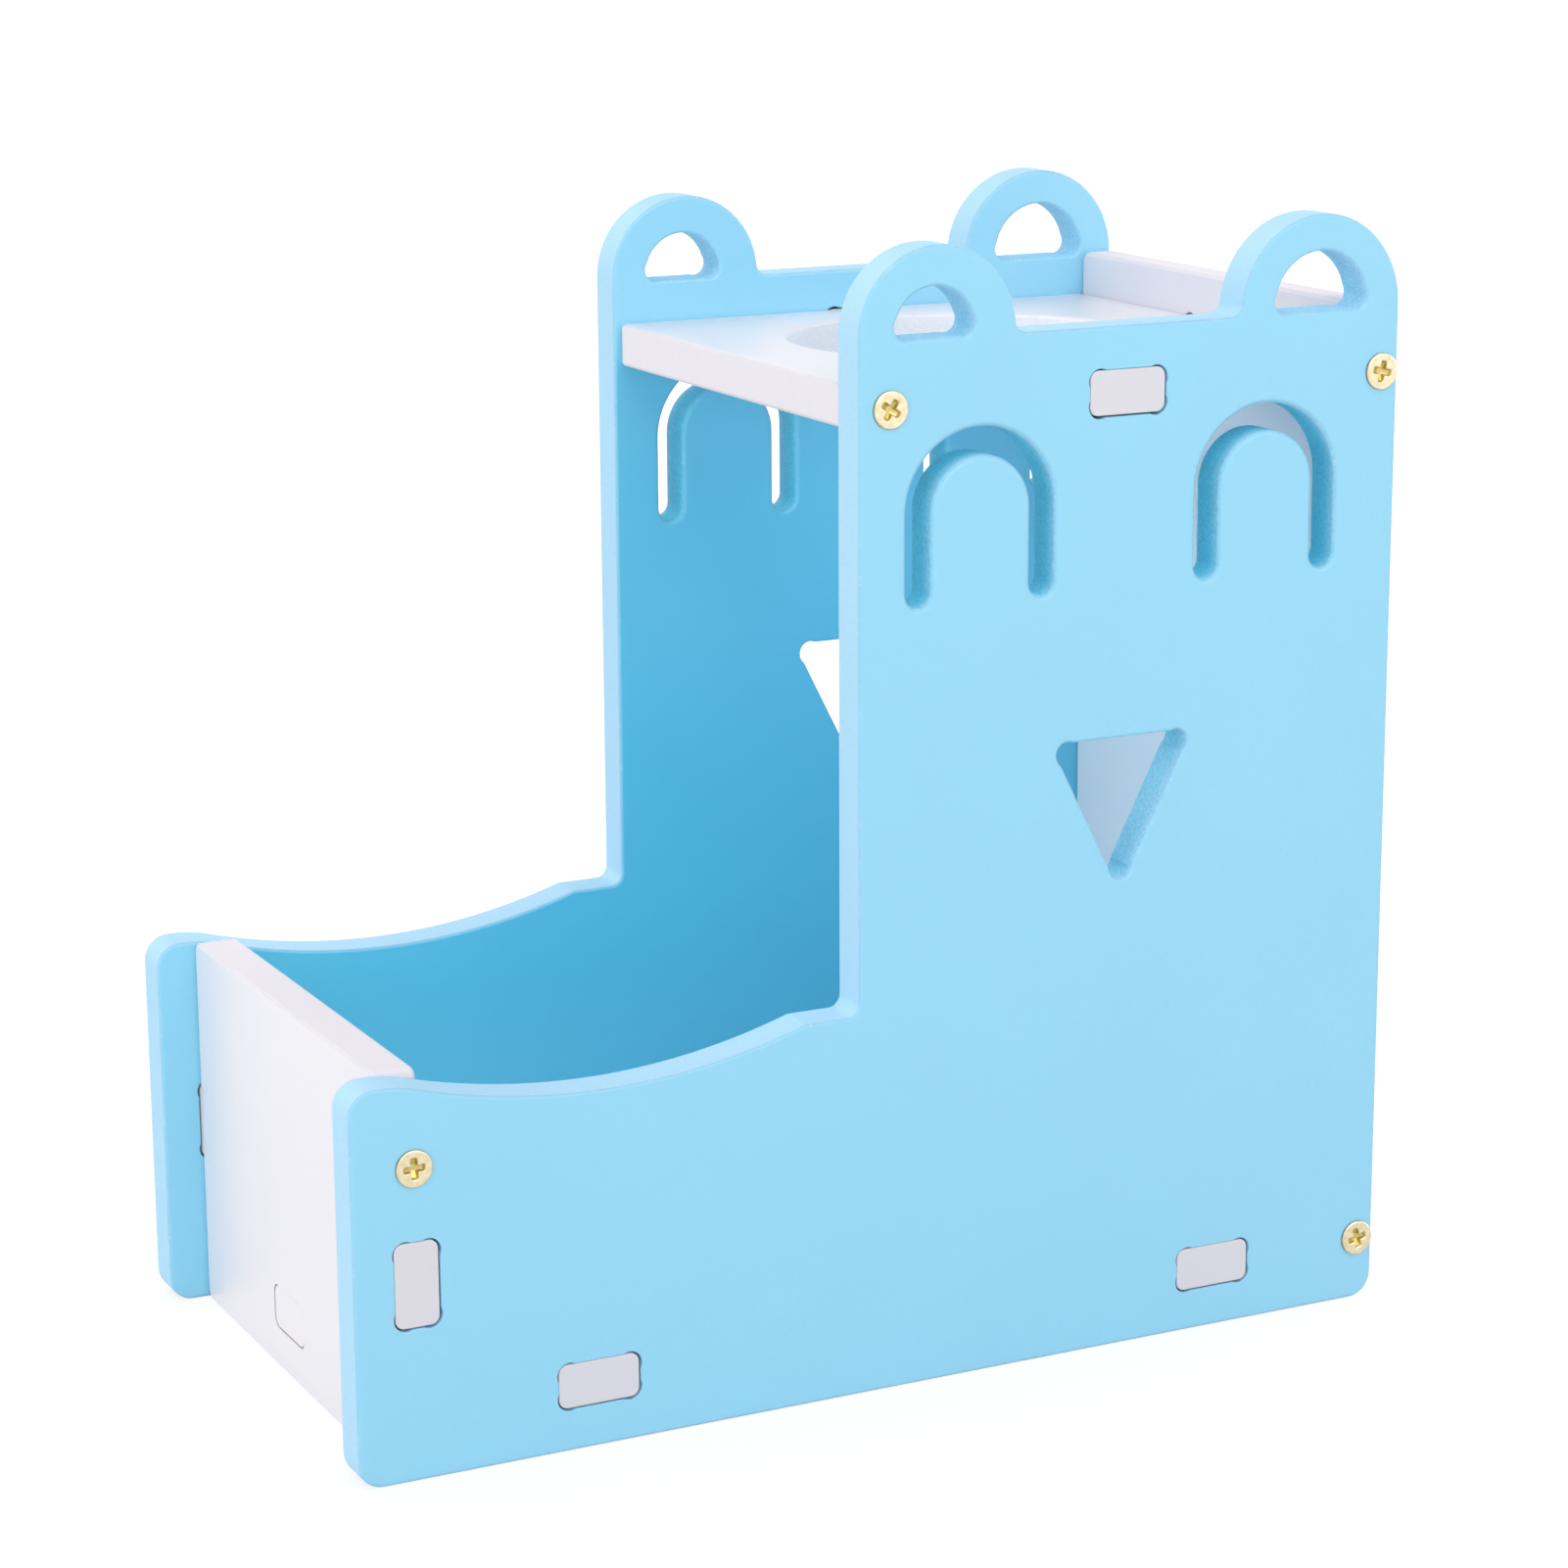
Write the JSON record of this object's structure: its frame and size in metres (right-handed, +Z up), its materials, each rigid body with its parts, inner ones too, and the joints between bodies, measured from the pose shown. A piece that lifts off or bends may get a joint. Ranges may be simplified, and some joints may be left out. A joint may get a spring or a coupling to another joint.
{
  "type": "pet food trough and water bottle stand",
  "caption": "L-shaped small-pet feeder: an open food trough in front of a tower whose holed shelf carries an upturned water bottle, made of slotted and screwed foam boards.",
  "frame": {"origin": "on the ground, under the middle of the stand's bounding box", "axes": "+Z up, the front of the trough faces -Y, and +X is to the right for someone who looks along +Y at that front"},
  "size_m": [0.0826, 0.155, 0.1555],
  "materials": {
    "blue_board": "light blue expanded PVC board, satin faces, finely grained routed edges",
    "white_board": "white expanded PVC board, satin faces, finely grained routed edges",
    "gold_screw": "pale yellow zinc plating over steel"
  },
  "bodies": {
    "root": {"right_side_board": "blue_board", "left_side_board": "blue_board", "floor_board": "white_board", "front_board": "white_board", "back_board": "white_board", "bottle_shelf": "white_board", "screw_right_shelf": "gold_screw", "screw_right_back_upper": "gold_screw", "screw_right_back_lower": "gold_screw", "screw_right_front": "gold_screw", "screw_left_shelf": "gold_screw", "screw_left_back_upper": "gold_screw", "screw_left_back_lower": "gold_screw", "screw_left_front": "gold_screw"}
  },
  "joints": []
}
